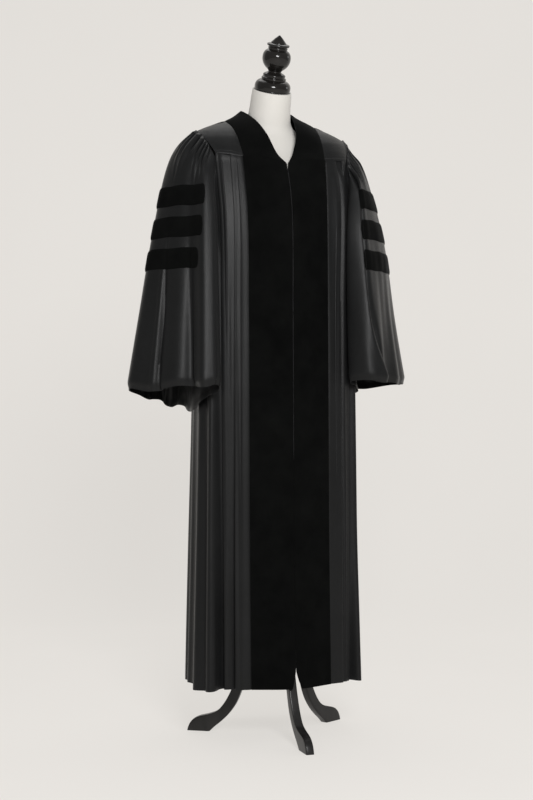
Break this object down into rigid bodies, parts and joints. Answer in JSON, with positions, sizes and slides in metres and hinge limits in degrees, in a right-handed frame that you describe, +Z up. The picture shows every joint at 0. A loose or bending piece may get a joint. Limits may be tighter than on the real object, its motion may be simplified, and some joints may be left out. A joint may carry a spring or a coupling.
{
  "type": "graduation gown on a dress form",
  "caption": "Full-length doctoral gown with velvet front facings, bell sleeves with velvet bars and a front zip, on a limbless dress form with a turned finial and a tripod stand.",
  "frame": {"origin": "on the floor, under the middle of the whole box", "axes": "+Z up, the gown's front faces -Y, +X is the wearer's left"},
  "size_m": [0.7198, 0.4442, 1.6731],
  "materials": {
    "gown_cloth": "satin-matte black fine ribbed weave",
    "velvet": "deep black short-pile velvet",
    "zip_nylon": "black nylon coil on woven tape",
    "form_canvas": "matte cream jersey over a padded shell",
    "black_lacquer": "glossy black lacquer",
    "stained_wood": "satin black stain"
  },
  "bodies": {
    "root": {"velvet_front_right": "velvet", "front_panel_right": "gown_cloth", "yoke_front_right": "gown_cloth", "sleeve_right": "gown_cloth", "sleeve_bar_right_1": "velvet", "sleeve_bar_right_2": "velvet", "sleeve_bar_right_3": "velvet", "velvet_front_left": "velvet", "front_panel_left": "gown_cloth", "yoke_front_left": "gown_cloth", "sleeve_left": "gown_cloth", "sleeve_bar_left_1": "velvet", "sleeve_bar_left_2": "velvet", "sleeve_bar_left_3": "velvet", "yoke_back": "gown_cloth", "back_panel": "gown_cloth", "zip": "zip_nylon", "form_torso": "form_canvas", "finial": "black_lacquer", "stand_pole": "stained_wood", "stand_hub": "stained_wood", "stand_leg_front": "stained_wood", "stand_leg_left": "stained_wood", "stand_leg_right": "stained_wood"}
  },
  "joints": []
}
